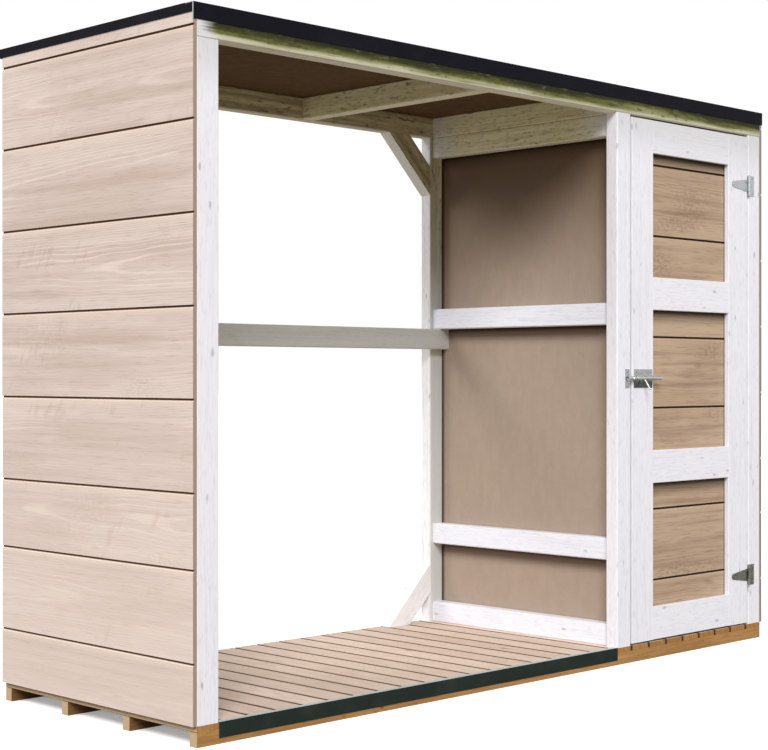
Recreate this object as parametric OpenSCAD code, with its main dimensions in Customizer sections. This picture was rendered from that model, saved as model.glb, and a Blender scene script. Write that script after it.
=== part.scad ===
// Log store with an open log bay, a tool cupboard and a flat roof.
// The front faces -Y, the ground is z = 0 and the origin lies under the middle of the store.
// Every module is drawn from the front left post's outer corner; place() then centres the whole.

/* [Overall] */
// Length of the frame along the front
frame_length = 2490; // [2200:10:3000]
// Depth of the frame from front to rear
frame_depth = 860; // [700:10:1200]
// Height from the ground to the top of the roof edge
store_height = 1830; // [1700:10:2100]
// Clear length of the open bay between its posts
bay_length = 1610; // [1300:10:1700]

/* [Timber] */
// Narrow side of the framing timber
timber_narrow = 45; // [38:1:55]
// Wide side of the framing timber
timber_wide = 70; // [60:1:90]
// Chamfer along the long edges of the timber
arris = 3; // [1:0.5:5]

/* [Base] */
// Width of one bearer
bearer_width = 28; // [22:1:45]
// Height of one bearer
bearer_height = 37; // [25:1:60]
// Number of bearers from front to rear
bearer_count = 4; // [3:1:6]
// Thickness of the deck boards
deck_thickness = 16; // [12:1:25]
// Number of deck boards
deck_boards = 27; // [20:1:32]
// Gap between two deck boards
deck_gap = 6; // [2:0.2:8]
// Chamfer along the edges of the deck boards
deck_arris = 2; // [0.5:0.5:3]
// Height of the front leg of the threshold angle
threshold_leg = 40; // [25:1:50]
// Depth of the top leg of the threshold angle
threshold_flange = 16; // [12:1:44]
// Sheet thickness of the threshold angle
threshold_sheet = 2; // [1:0.5:4]

/* [Walls] */
// Thickness of the grooved wall sheets and of the plain partition sheet
sheet_thickness = 12; // [9:1:18]
// Height of one course between two grooves
course = 230; // [150:1:300]
// Height of the course that is cut short
short_course = 189; // [120:1:300]
// Height of the strip above the first groove
top_course = 42; // [15:1:150]
// Whole courses above the one that is cut short
upper_courses = 5; // [2:1:8]
// Height of a groove's flat floor
groove_floor = 4.5; // [2:0.5:8]
// Depth of a groove
groove_depth = 4; // [2:0.5:6]
// Height of the sloped lip under a groove
groove_lip = 4; // [1:0.5:8]
// Set-back of the rear sheet's edge from the side of the partition's rear post
rear_sheet_inset = 20; // [0:1:40]
// Underside of the lower wall rail, above the deck
lower_rail_rise = 273; // [150:1:500]
// Underside of the upper wall rail, above the deck
upper_rail_rise = 1022; // [700:1:1200]
// Thickness of the rail across the open rear
rear_rail_thickness = 34; // [25:1:45]
// Long leg of a knee brace, along the post and the header
brace_leg = 202; // [150:1:350]

/* [Roof] */
// Thickness of the roof sheet
roof_sheet_thickness = 12; // [9:1:22]
// Thickness of the roof covering
membrane_thickness = 1; // [1:0.5:3]
// Sheet thickness of the roof edge strips
strip_sheet = 2; // [1:0.5:3]
// Height of the front edge strip
front_strip_height = 42; // [20:1:60]
// Height of the side and rear edge strips
side_strip_height = 25; // [18:1:60]
// Width of the edge strips on top of the roof
strip_flange = 30; // [15:1:60]
// Left face of the rafter over the open bay
bay_rafter_x = 1080; // [400:10:1200]

/* [Door] */
// Gap on each side of the door
door_side_gap = 6; // [5:0.5:10]
// Gap over the door
door_top_gap = 7; // [5:0.5:12]
// Gap under the door
door_bottom_gap = 6; // [5:0.5:15]
// Width of a stile
stile_width = 114; // [80:1:140]
// Height of a door rail
door_rail_height = 106; // [80:1:140]
// Thickness of the stiles and rails
door_thickness = 18; // [15:1:24]
// Height of the middle opening
middle_opening = 454; // [300:1:600]
// Width of the panels' seat behind the frame
panel_seat = 28; // [15:1:45]
// First groove below the top of the bottom, middle and top opening
panel_first_groove = [87, 88, 36]; // [10:1:150]

/* [Hinges] */
// Lower hinge centre, above the bottom of the door
hinge_from_bottom = 165; // [120:1:400]
// Upper hinge centre, below the top of the door
hinge_from_top = 168; // [120:1:400]
// Height of the leaf on the post
leaf_height = 70; // [60:1:90]
// Width of the leaf, from the hinge axis
leaf_width = 35; // [25:1:45]
// Length of the strap, from the hinge axis
strap_length = 99; // [70:1:140]
// Height of the strap at its knuckle
strap_root = 44; // [30:1:50]
// Height of the strap at its round tip
strap_tip = 20; // [12:1:28]
// Sheet thickness of the hinges
hinge_sheet = 2; // [1.5:0.5:3]
// Outer radius of the knuckles
knuckle_radius = 5; // [4.5:0.5:6]
// Radius of the hinge pin
pin_radius = 2.5; // [2:0.5:3]

/* [Bolt] */
// Height of the bolt above the bottom of the door
bolt_rise = 845; // [700:1:1000]
// Length of the plate on the stile
bolt_plate_length = 96; // [90:1:100]
// Height of the plate on the stile and of the keeper
bolt_plate_height = 59; // [40:1:70]
// Sheet thickness of the bolt's plates
bolt_sheet = 2; // [1.5:0.5:3]
// Radius of the bolt
bolt_radius = 6; // [5:0.5:7]
// Length of the bolt
bolt_length = 150; // [140:1:170]
// Way from drawn to thrown
bolt_throw = 27; // [24:1:28]
// Length of the short guide near the door's edge
short_guide = 10; // [6:1:12]
// Length of the long guide at the other end of the plate
long_guide = 42; // [30:1:42]
// Wall of the guides and of the keeper's loop
guide_wall = 1.5; // [1:0.5:2]
// Length of the handle, from the bolt's axis
handle_length = 44; // [35:1:55]
// Radius of the handle
handle_radius = 3; // [2:0.5:4]
// Angle of the handle forward of straight down
handle_angle = 35; // [20:1:70]
// Length of the keeper on the post
keeper_length = 22; // [14:1:24]

/* [Hidden] */
$fn = 48;
// Running clearance of the hinge pin in the strap's knuckle
pin_clearance = 0.05;
// Gap between two knuckles along the pin
knuckle_gap = 0.5;
// Air between a knuckle and the face behind it
knuckle_air = 0.5;
// Clearance of the bolt in its guides and in the keeper
guide_clearance = 0.3;
keeper_clearance = 1;
// Air between the drawn bolt's nose and the keeper
nose_air = 7;
// Bevel on both ends of the bolt
bolt_bevel = 2;
// Distance of the plate's end from the door's edge
bolt_inset = 10;
// Distance of the keeper from the post's edge
keeper_inset = 8;
// Air between the handle and a guide at either end of the throw
handle_air = 2;
// Air between the strap's knuckle and the leaf beside it
knuckle_side_air = 1;
// Cutters reach this far past the faces they cut
past = 1;

// Heights, from the ground up
deck_top = bearer_height + deck_thickness;
sheet_top = store_height - strip_sheet - membrane_thickness;
header_top = sheet_top - roof_sheet_thickness;
post_top = header_top - timber_wide;
rail_heights = [
    deck_top,
    deck_top + lower_rail_rise,
    deck_top + upper_rail_rise,
    post_top - timber_wide
];

// Places along the front
partition_x = timber_wide + bay_length;
cupboard_x = partition_x + timber_wide;
right_post_x = frame_length - timber_wide;
partition_rail_x = cupboard_x - sheet_thickness - timber_narrow;
bearer_pitch = (frame_depth - bearer_width) / (bearer_count - 1);
board_width = (frame_length - (deck_boards - 1) * deck_gap) / deck_boards;

// Places from front to rear
rear_post_y = frame_depth - timber_narrow;
inner_depth = frame_depth - 2 * timber_narrow;
roof_depth = frame_depth + sheet_thickness;

// Door
door_x = cupboard_x + door_side_gap;
door_width = right_post_x - door_side_gap - door_x;
door_bottom = deck_top + door_bottom_gap;
door_top = post_top - door_top_gap;
opening_width = door_width - 2 * stile_width;
outer_opening = (door_top - door_bottom - 4 * door_rail_height - middle_opening) / 2;
opening_heights = [outer_opening, middle_opening, outer_opening];
opening_bottoms = [
    door_bottom + door_rail_height,
    door_bottom + 2 * door_rail_height + outer_opening,
    door_bottom + 3 * door_rail_height + outer_opening + middle_opening
];
door_rail_bottoms = concat(
    [for (z = opening_bottoms) z - door_rail_height],
    [door_top - door_rail_height]
);

// Hinges and bolt
hinge_x = right_post_x - door_side_gap / 2;
hinge_y = -knuckle_radius - knuckle_air;
hinge_heights = [door_bottom + hinge_from_bottom, door_top - hinge_from_top];
bolt_z = door_bottom + bolt_rise;
bolt_plate_x = door_x + bolt_inset;
loop_radius = bolt_radius + keeper_clearance + bolt_sheet;
bolt_y = -loop_radius;
keeper_x = cupboard_x - keeper_inset - keeper_length;
bolt_x = keeper_x + keeper_length + nose_air;
handle_x = bolt_plate_x + short_guide + handle_air + handle_radius + bolt_throw;

// Middle of the whole from front to rear, between the bolt's handle and the rear edge strip
front_reach = handle_length * sin(handle_angle) + handle_radius * cos(handle_angle) - bolt_y;
middle_y = (roof_depth + strip_sheet - front_reach) / 2;

white_paint = "#e9e8e6";
weathered_paint = "#b9b39a";
raw_pine = "#d2ac7c";
deck_pine = "#d9c6b6";
cladding_tone = "#cbbba8";
sheet_tone = "#8d7663";
ceiling_tone = "#4f4238";
edge_black = "#1d2026";
threshold_green = "#3a413c";
zinc = "#9a9fa0";

module place() {
    translate([-frame_length / 2, -middle_y, 0]) children();
}

// Section of a planed board with its four corners taken off
module planed(width, height, corner) {
    polygon([
        [corner, 0], [width - corner, 0], [width, corner], [width, height - corner],
        [width - corner, height], [corner, height], [0, height - corner], [0, corner]
    ]);
}

module along_x(length) {
    rotate([90, 0, 90]) linear_extrude(length) children();
}

module along_y(length) {
    translate([0, length, 0]) rotate([90, 0, 0]) linear_extrude(length) children();
}

// Section of a grooved sheet: the back is x = 0 and the grooves are cut into the far face
module grooved_section(bottom, top, grooves) {
    face = sheet_thickness;
    floor = sheet_thickness - groove_depth;
    cuts = [
        for (z = grooves)
            each [[face, z - groove_lip], [floor, z], [floor, z + groove_floor], [face, z + groove_floor]]
    ];
    polygon(concat([[0, top], [0, bottom], [face, bottom]], cuts, [[face, top]]));
}

// Groove heights of the wall sheets, from the lowest up
function wall_grooves() =
    let (short_z = header_top - top_course - upper_courses * course - short_course)
    let (lower = [for (i = [1:-1:0]) short_z - i * course])
    let (upper = [for (i = [upper_courses:-1:0]) header_top - top_course - i * course])
    [for (z = concat(lower, upper)) if (z > deck_top + 2 * groove_lip) z];

// Section of a folded angle: the drop hangs before x = 0 and the flange lies behind it, top at y = 0
module angle_section(drop, flange, sheet) {
    polygon([[-sheet, 0], [-sheet, -drop], [0, -drop], [0, -sheet], [flange, -sheet], [flange, 0]]);
}

module post(x, y) {
    color(white_paint)
        place()
        translate([x, y, deck_top])
        linear_extrude(post_top - deck_top)
        planed(timber_wide, timber_narrow, arris);
}

// Four level rails that stiffen one end wall
module wall_rails(x) {
    color(white_paint)
        place()
        for (z = rail_heights)
            translate([x, timber_narrow, z])
            along_y(inner_depth)
            planed(timber_narrow, timber_wide, arris);
}

module header(y) {
    color(white_paint)
        place()
        translate([0, y, post_top])
        along_x(frame_length)
        planed(timber_narrow, timber_wide, arris);
}

module rafter(x) {
    color(weathered_paint)
        place()
        translate([x, timber_narrow, post_top])
        along_y(inner_depth)
        planed(timber_narrow, timber_wide, arris);
}

// Knee brace in the corner at (x, z); side and rise give the quarter that it fills
module brace(x, z, side, rise) {
    inner_leg = brace_leg - timber_wide * sqrt(2);
    color(white_paint)
        place()
        translate([x, rear_post_y, z])
        along_y(timber_narrow)
        polygon([
            [0, rise * inner_leg], [0, rise * brace_leg], [side * brace_leg, 0], [side * inner_leg, 0]
        ]);
}

module bearers() {
    color(raw_pine)
        place()
        for (i = [0:bearer_count - 1])
            translate([0, i * bearer_pitch, 0])
            cube([frame_length, bearer_width, bearer_height]);
}

module deck() {
    color(deck_pine)
        place()
        for (i = [0:deck_boards - 1])
            translate([i * (board_width + deck_gap), 0, bearer_height])
            along_y(frame_depth)
            planed(board_width, deck_thickness, deck_arris);
}

module threshold() {
    color(threshold_green)
        place()
        translate([timber_wide, 0, deck_top + threshold_sheet])
        along_x(bay_length)
        angle_section(threshold_leg, threshold_flange, threshold_sheet);
}

module back_rails() {
    color(white_paint)
        place()
        for (z = rail_heights)
            translate([cupboard_x, rear_post_y, z])
            along_x(right_post_x - cupboard_x)
            planed(timber_narrow, timber_wide, arris);
}

module left_cladding() {
    color(cladding_tone)
        place()
        along_y(frame_depth)
        mirror([1, 0, 0])
        grooved_section(deck_top, header_top, wall_grooves());
}

module right_cladding() {
    color(cladding_tone)
        place()
        translate([frame_length, 0, 0])
        along_y(roof_depth)
        grooved_section(deck_top, header_top, wall_grooves());
}

module back_cladding() {
    color(cladding_tone)
        place()
        translate([partition_x + rear_sheet_inset, frame_depth, 0])
        along_x(frame_length - partition_x - rear_sheet_inset)
        grooved_section(deck_top, header_top, wall_grooves());
}

module partition_sheet() {
    color(sheet_tone)
        place()
        translate([cupboard_x - sheet_thickness, timber_narrow, deck_top])
        cube([sheet_thickness, inner_depth, post_top - deck_top]);
}

module rear_rail() {
    color(weathered_paint)
        place()
        translate([0, rear_post_y - rear_rail_thickness, rail_heights[2] - timber_wide])
        along_x(cupboard_x - sheet_thickness)
        planed(rear_rail_thickness, timber_wide, arris);
}

module roof_sheet() {
    color(ceiling_tone)
        place()
        translate([-sheet_thickness, 0, header_top])
        cube([frame_length + 2 * sheet_thickness, roof_depth, roof_sheet_thickness]);
}

module roof_membrane() {
    color(edge_black)
        place()
        translate([-sheet_thickness, 0, sheet_top])
        cube([frame_length + 2 * sheet_thickness, roof_depth, membrane_thickness]);
}

// Edge strip along the front or the rear, over the full length of the roof
module long_strip(height) {
    translate([-sheet_thickness - strip_sheet, 0, store_height])
        along_x(frame_length + 2 * (sheet_thickness + strip_sheet))
        angle_section(height, strip_flange, strip_sheet);
}

module front_strip() {
    color(edge_black) place() long_strip(front_strip_height);
}

module rear_strip() {
    color(edge_black)
        place()
        translate([0, roof_depth, 0])
        mirror([0, 1, 0])
        long_strip(side_strip_height);
}

// Edge strip along the left end, its top leg cut off where the front and rear strips lie
module end_strip() {
    difference() {
        translate([-sheet_thickness, 0, store_height])
            along_y(roof_depth)
            angle_section(side_strip_height, strip_flange, strip_sheet);
        for (y = [-past, roof_depth - strip_flange])
            translate([-sheet_thickness - strip_sheet - past, y, store_height - strip_sheet])
            cube([strip_flange + strip_sheet + 2 * past, strip_flange + past, strip_sheet + past]);
    }
}

module left_strip() {
    color(edge_black) place() end_strip();
}

module right_strip() {
    color(edge_black)
        place()
        translate([frame_length, 0, 0])
        mirror([1, 0, 0])
        end_strip();
}

module stile(x) {
    color(white_paint)
        place()
        translate([x, 0, door_bottom])
        linear_extrude(door_top - door_bottom)
        planed(stile_width, door_thickness, arris / 2);
}

module door_rails() {
    color(white_paint)
        place()
        for (z = door_rail_bottoms)
            translate([door_x + stile_width, 0, z])
            along_x(opening_width)
            planed(door_thickness, door_rail_height, arris / 2);
}

// Three grooved panels planted on the back of the door frame
module door_panels() {
    color(cladding_tone)
        place()
        for (i = [0:2]) {
            bottom = opening_bottoms[i];
            top = bottom + opening_heights[i];
            first = top - panel_first_groove[i];
            grooves = [for (z = [first - course, first]) if (z > bottom) z];
            translate([door_x + stile_width - panel_seat, door_thickness + sheet_thickness, 0])
                along_x(opening_width + 2 * panel_seat)
                mirror([1, 0, 0])
                grooved_section(bottom - panel_seat, top + panel_seat, grooves);
        }
}

// Plate of a hinge or of the bolt: an outline in x and z that lies on the front face
module front_plate(sheet) {
    rotate([90, 0, 0]) linear_extrude(sheet) children();
}

// One knuckle round the hinge axis, between two heights from the hinge's middle
module knuckle(bottom, top, bore) {
    translate([0, hinge_y, bottom])
        difference() {
            cylinder(r = knuckle_radius, h = top - bottom);
            translate([0, 0, -past]) cylinder(r = bore, h = top - bottom + 2 * past);
        }
}

// Leaf on the post, cut back beside the strap's knuckle, with its two knuckles and the pin
module hinge_leaf(z) {
    half = leaf_height / 2;
    inner = strap_root / 2 + knuckle_gap;
    notch = knuckle_radius + knuckle_side_air;
    color(zinc)
        place()
        translate([hinge_x, 0, z]) {
            front_plate(hinge_sheet)
                polygon([
                    [0, -half], [leaf_width, -half], [leaf_width, half], [0, half],
                    [0, inner], [notch, inner], [notch, -inner], [0, -inner]
                ]);
            knuckle(-half, -inner, pin_radius);
            knuckle(inner, half, pin_radius);
            translate([0, hinge_y, -half]) cylinder(r = pin_radius, h = leaf_height);
        }
}

// Strap on the door, tapering to a round tip, with the middle knuckle
module hinge_strap(z) {
    half = strap_root / 2;
    tip = strap_tip / 2;
    bore = pin_radius + pin_clearance;
    color(zinc)
        place()
        translate([hinge_x, 0, z]) {
            difference() {
                front_plate(hinge_sheet)
                    union() {
                        polygon([
                            [0, -half], [0, half],
                            [tip - strap_length, tip], [tip - strap_length, -tip]
                        ]);
                        translate([tip - strap_length, 0]) circle(r = tip);
                    }
                translate([0, hinge_y, -half - past]) cylinder(r = bore, h = strap_root + 2 * past);
            }
            knuckle(-half, half, bore);
        }
}

// Guide round the bolt, closed against its plate
module bolt_loop(x, length, bore, wall) {
    translate([x, bolt_y, bolt_z])
        rotate([0, 90, 0])
        difference() {
            union() {
                cylinder(r = bore + wall, h = length);
                translate([-bore - wall, 0, 0]) cube([2 * (bore + wall), -bolt_y, length]);
            }
            translate([0, 0, -past]) cylinder(r = bore, h = length + 2 * past);
        }
}

module bolt_plate() {
    bore = bolt_radius + guide_clearance;
    color(zinc)
        place() {
            translate([bolt_plate_x, 0, bolt_z - bolt_plate_height / 2])
                front_plate(bolt_sheet)
                square([bolt_plate_length, bolt_plate_height]);
            bolt_loop(bolt_plate_x, short_guide, bore, guide_wall);
            bolt_loop(bolt_plate_x + bolt_plate_length - long_guide, long_guide, bore, guide_wall);
        }
}

module bolt_keeper() {
    color(zinc)
        place() {
            translate([keeper_x, 0, bolt_z - bolt_plate_height / 2])
                front_plate(bolt_sheet)
                square([keeper_length, bolt_plate_height]);
            bolt_loop(keeper_x, keeper_length, bolt_radius + keeper_clearance, guide_wall);
        }
}

// Bolt in its drawn place, with both ends bevelled and the handle hanging forward
module bolt_rod() {
    color(zinc)
        place() {
            translate([bolt_x, bolt_y, bolt_z])
                rotate([0, 90, 0]) {
                    cylinder(r1 = bolt_radius - bolt_bevel, r2 = bolt_radius, h = bolt_bevel);
                    translate([0, 0, bolt_bevel])
                        cylinder(r = bolt_radius, h = bolt_length - 2 * bolt_bevel);
                    translate([0, 0, bolt_length - bolt_bevel])
                        cylinder(r1 = bolt_radius, r2 = bolt_radius - bolt_bevel, h = bolt_bevel);
                }
            translate([handle_x, bolt_y, bolt_z])
                rotate([180 - handle_angle, 0, 0])
                cylinder(r = handle_radius, h = handle_length);
        }
}

bearers();
deck();
threshold();
post(0, 0);  // left_front_post
post(0, rear_post_y);  // left_rear_post
post(partition_x, 0);  // partition_front_post
post(partition_x, rear_post_y);  // partition_rear_post
post(right_post_x, 0);  // right_front_post
post(right_post_x, rear_post_y);  // right_rear_post
wall_rails(0);  // left_rails
wall_rails(partition_rail_x);  // partition_rails
wall_rails(frame_length - timber_narrow);  // right_rails
back_rails();
left_cladding();
right_cladding();
back_cladding();
partition_sheet();
rear_rail();
brace(timber_wide, post_top, 1, -1);  // brace_top_left
brace(partition_x, post_top, -1, -1);  // brace_top_right
brace(timber_wide, deck_top, 1, 1);  // brace_bottom_left
brace(partition_x, deck_top, -1, 1);  // brace_bottom_right
header(0);  // front_header
header(rear_post_y);  // rear_header
rafter(0);  // left_rafter
rafter(bay_rafter_x);  // bay_rafter
rafter(partition_rail_x);  // partition_rafter
rafter(frame_length - timber_narrow);  // right_rafter
roof_sheet();
roof_membrane();
front_strip();
rear_strip();
left_strip();
right_strip();
stile(door_x);  // door_latch_stile
stile(door_x + door_width - stile_width);  // door_hinge_stile
door_rails();
door_panels();
hinge_leaf(hinge_heights[0]);  // hinge_leaf_bottom
hinge_leaf(hinge_heights[1]);  // hinge_leaf_top
hinge_strap(hinge_heights[0]);  // hinge_strap_bottom
hinge_strap(hinge_heights[1]);  // hinge_strap_top
bolt_plate();
bolt_rod();
bolt_keeper();
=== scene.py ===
# %% [markdown]
# # A log store with a tool cupboard
# The store is a white timber frame on a slatted floor: an open bay for logs on the left, a cupboard with a
# framed door on the right, grooved sheets on the walls and a flat black roof. Its pieces arrive as a
# finished frame in metres, so this lesson is about finishes, small fixings, light and the camera.

# %% Load the frame
import math

import bpy
from mathutils import Matrix, Vector


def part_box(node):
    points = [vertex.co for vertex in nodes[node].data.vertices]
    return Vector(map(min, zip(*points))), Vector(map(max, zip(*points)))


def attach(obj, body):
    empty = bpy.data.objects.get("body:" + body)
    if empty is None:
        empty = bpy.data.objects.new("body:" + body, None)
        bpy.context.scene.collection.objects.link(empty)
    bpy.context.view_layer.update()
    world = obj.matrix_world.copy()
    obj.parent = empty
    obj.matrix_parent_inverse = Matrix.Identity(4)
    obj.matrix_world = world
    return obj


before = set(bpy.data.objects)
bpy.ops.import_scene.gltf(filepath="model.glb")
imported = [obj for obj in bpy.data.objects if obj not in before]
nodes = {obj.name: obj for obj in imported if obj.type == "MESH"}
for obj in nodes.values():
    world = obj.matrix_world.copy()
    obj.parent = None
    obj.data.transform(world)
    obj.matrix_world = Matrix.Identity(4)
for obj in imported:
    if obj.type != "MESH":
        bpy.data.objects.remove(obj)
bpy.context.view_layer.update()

# %% [markdown]
# ## Camera
# The photograph looks level at the front left corner, from half the store's height. The two vanishing
# points give the lens, and the near post's corner gives the place, so the camera is set as a real one
# would be: so far from that corner, so high, and turned by so many degrees.

# %% Camera
near_corner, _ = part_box("left_front_post")
CAMERA_LEFT = 2.572
CAMERA_BACK = 3.251
CAMERA_HEIGHT = 0.915
CAMERA_TURN = math.radians(-44.7)
SENSOR_MM = 36.0
FOCAL_PIXELS = 1681.3
PHOTO_WIDTH = 768

bpy.ops.object.camera_add(
    location=(near_corner.x - CAMERA_LEFT, near_corner.y - CAMERA_BACK, CAMERA_HEIGHT),
    rotation=(math.radians(90), 0, CAMERA_TURN),
)
camera = bpy.context.object
camera.data.sensor_fit = "HORIZONTAL"
camera.data.sensor_width = SENSOR_MM
camera.data.lens = FOCAL_PIXELS / PHOTO_WIDTH * SENSOR_MM
bpy.context.scene.camera = camera
print("camera lens", round(camera.data.lens, 1), "mm")

# %% [markdown]
# ## Tools for colours
# Every finish here is a small tree of nodes. It could be wired by hand in the shader editor; in code, a few
# helpers keep it short. One adds a node and plugs in its inputs, others do sums, make a soft step, mix two
# colours or lay thin coats over each other. Colours are written as they look on a screen, from 0 to 255,
# and turned into the linear values that light needs.

# %% Node helpers
def shade(red, green, blue):
    """Screen colour to the linear colour of a socket."""
    def linear(value):
        value /= 255
        return value / 12.92 if value <= 0.04045 else ((value + 0.055) / 1.055) ** 2.4
    return (linear(red), linear(green), linear(blue), 1.0)


def node(tree, kind, inputs=None, **settings):
    """A new node with its settings, and each input either set or plugged in."""
    made = tree.nodes.new(kind)
    for name, value in settings.items():
        setattr(made, name, value)
    for key, value in (inputs or {}).items():
        if isinstance(value, bpy.types.NodeSocket):
            tree.links.new(value, made.inputs[key])
        else:
            made.inputs[key].default_value = value
    return made


def maths(tree, operation, first, second=0.0):
    """One step of arithmetic."""
    return node(tree, "ShaderNodeMath", {0: first, 1: second}, operation=operation).outputs[0]


def times(tree, first, second):
    return maths(tree, "MULTIPLY", first, second)


def plus(tree, first, second):
    return maths(tree, "ADD", first, second)


def minus(tree, first, second):
    return maths(tree, "SUBTRACT", first, second)


def ramp(tree, value, low, high, start=0.0, end=1.0):
    """A smooth step from start to end while the value goes from low to high."""
    inputs = {"Value": value, "From Min": low, "From Max": high, "To Min": start, "To Max": end}
    return node(tree, "ShaderNodeMapRange", inputs, interpolation_type="SMOOTHSTEP").outputs[0]


# %% Colour helpers
def blend_colour(tree, factor, first, second):
    """Two colours mixed by a mask."""
    return node(tree, "ShaderNodeMix", {0: factor, 6: first, 7: second}, data_type="RGBA").outputs[2]


def tint(tree, colour, mask, strength, other):
    """A colour with some of another over it, where the mask is light."""
    return blend_colour(tree, times(tree, mask, strength), colour, other)


def coats(tree, colour, *rows):
    """A colour with thin coats over it, in order; a row is a coat's mask, its strength and its colour."""
    for mask, strength, other in rows:
        colour = tint(tree, colour, mask, strength, other)
    return colour


def colour_steps(tree, value, steps):
    """A colour read off a row of steps by a value from 0 to 1."""
    made = node(tree, "ShaderNodeValToRGB", {0: value})
    row = made.color_ramp.elements
    row[0].position, row[0].color = steps[0]
    row[1].position, row[1].color = steps[-1]
    for place, colour in steps[1:-1]:
        row.new(place).color = colour
    return made.outputs["Color"]


# %% [markdown]
# ## Tools for patterns
# Most natural patterns start as cloudy noise. Wood is noise that changes slowly along the grain and fast
# across it, so one helper asks for both rates, in changes per metre. An effect that several finishes share
# is a node group: it is opened with named sockets, filled and closed, and each material places it with
# values of its own.

# %% Pattern helpers
def stretch(tree, vector, factors):
    """Coordinates squeezed or stretched along each axis."""
    return node(tree, "ShaderNodeVectorMath", {0: vector, 1: factors}, operation="MULTIPLY").outputs[0]


def scaled(tree, vector, factor):
    """Coordinates made larger or smaller all round."""
    return node(tree, "ShaderNodeVectorMath", {0: vector, "Scale": factor}, operation="SCALE").outputs[0]


def seeded(tree, vector, step, seed):
    """Coordinates moved on by a step for each count of the seed, to another stretch of the pattern."""
    inputs = {0: vector, 1: scaled(tree, step, seed)}
    return node(tree, "ShaderNodeVectorMath", inputs, operation="ADD").outputs[0]


def spot_at(tree, x, y, z):
    """Coordinates put together from three values."""
    return node(tree, "ShaderNodeCombineXYZ", {"X": x, "Y": y, "Z": z}).outputs[0]


def parts_of(tree, vector):
    """X, Y and Z of coordinates, as three values."""
    return node(tree, "ShaderNodeSeparateXYZ", {0: vector}).outputs


def noise(tree, vector, scale=1.0, detail=2.0, roughness=0.5):
    """Soft cloudy noise from 0 to 1."""
    inputs = {"Vector": vector, "Scale": scale, "Detail": detail, "Roughness": roughness}
    return node(tree, "ShaderNodeTexNoise", inputs).outputs["Fac"]


def grain_noise(tree, vector, along, across, detail=2.0, roughness=0.5):
    """Noise drawn out along X, with its changes per metre along the grain and across it."""
    return noise(tree, stretch(tree, vector, (along, across, across)), 1.0, detail, roughness)


def luck_of(tree, number):
    """A value from 0 to 1, drawn anew for each number."""
    return node(tree, "ShaderNodeTexWhiteNoise", {"W": number}, noise_dimensions="1D").outputs["Value"]


# %% Group helpers
def open_group(name, inputs, outputs, kind="Float"):
    """A node group with named sockets, ready to be filled; an input without a value takes coordinates."""
    group = bpy.data.node_groups.new(name, "ShaderNodeTree")
    for label, value in inputs.items():
        sort = "NodeSocketVector" if value is None else "NodeSocketFloat"
        socket = group.interface.new_socket(label, in_out="INPUT", socket_type=sort)
        if value is not None:
            socket.default_value = value
    for label in outputs:
        group.interface.new_socket(label, in_out="OUTPUT", socket_type=f"NodeSocket{kind}")
    return group, group.nodes.new("NodeGroupInput").outputs, group.nodes.new("NodeGroupOutput").inputs


def close_group(group, result, made):
    """The group with what it made plugged into its outputs."""
    for label, socket in made.items():
        group.links.new(socket, result[label])
    print("group", group.name, "gives", ", ".join(made))
    return group


def place_group(tree, group, inputs):
    """A group set into a material, with its own values."""
    return node(tree, "ShaderNodeGroup", inputs, node_tree=group).outputs


# %% [markdown]
# ## Wood figure
# Wood shows fine fibres, short flecks, slow changes of tone and now and then a knot. All of them are noise
# that is drawn out along the grain, and the knots are the middles of random cells with a wavering edge. One
# group makes them for every timber and for the printed sheets, with the grain along X of its coordinates.

# %% Wood figure group
FIGURE_STEP = (3.71, 1.37, 5.13)
KNOT_CELLS = (4.0, 9.0, 9.0)
KNOT_WAVER = 0.36


def make_wood_figure():
    group, given, result = open_group(
        "Wood figure",
        {"Vector": None, "Seed": 0.0, "Knots": 0.3, "Knot scale": 1.0},
        ("Fibre", "Streak", "Cloud", "Fleck", "Knot"),
    )
    spot = seeded(group, given["Vector"], FIGURE_STEP, given["Seed"])
    fleck = grain_noise(group, spot, along=32.0, across=150.0)
    knot_spot = scaled(group, stretch(group, spot, KNOT_CELLS), given["Knot scale"])
    cells = node(group, "ShaderNodeTexVoronoi", {"Vector": knot_spot, "Scale": 1.0}).outputs
    luck = node(group, "ShaderNodeSeparateColor", {0: cells["Color"]}).outputs[0]
    chosen = maths(group, "LESS_THAN", luck, given["Knots"])
    waver = minus(group, noise(group, knot_spot, scale=2.6, detail=3.0), 0.5)
    reach = plus(group, cells["Distance"], times(group, waver, KNOT_WAVER))
    made = {
        "Fibre": grain_noise(group, spot, along=9.0, across=260.0, detail=3.0, roughness=0.6),
        "Streak": grain_noise(group, spot, along=2.2, across=60.0, detail=3.0, roughness=0.55),
        "Cloud": grain_noise(group, spot, along=1.6, across=6.0, detail=3.0, roughness=0.55),
        "Fleck": ramp(group, fleck, 0.52, 0.72),
        "Knot": times(group, ramp(group, reach, 0.02, 0.2, 1.0, 0.0), chosen),
    }
    return close_group(group, result, made)


wood_figure = make_wood_figure()

# %% [markdown]
# ## Arched rings
# A plank sawn from the side of a log shows arches along its middle and close, straight lines along its
# edges. That is what a parabola does: the square of the distance from the plank's middle, plus the way
# along it, cut into level lines. A little noise bends the lines, and the seed gives each plank its own.

# %% Arched rings group
RING_START = 5.0
DRIFT_ALONG, DRIFT_STEP, DRIFT_SIZE = 2.4, 5.3, 0.56
BEND_ALONG, BEND_ACROSS, BEND_STEP = 5.0, 2.6, 3.1


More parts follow.
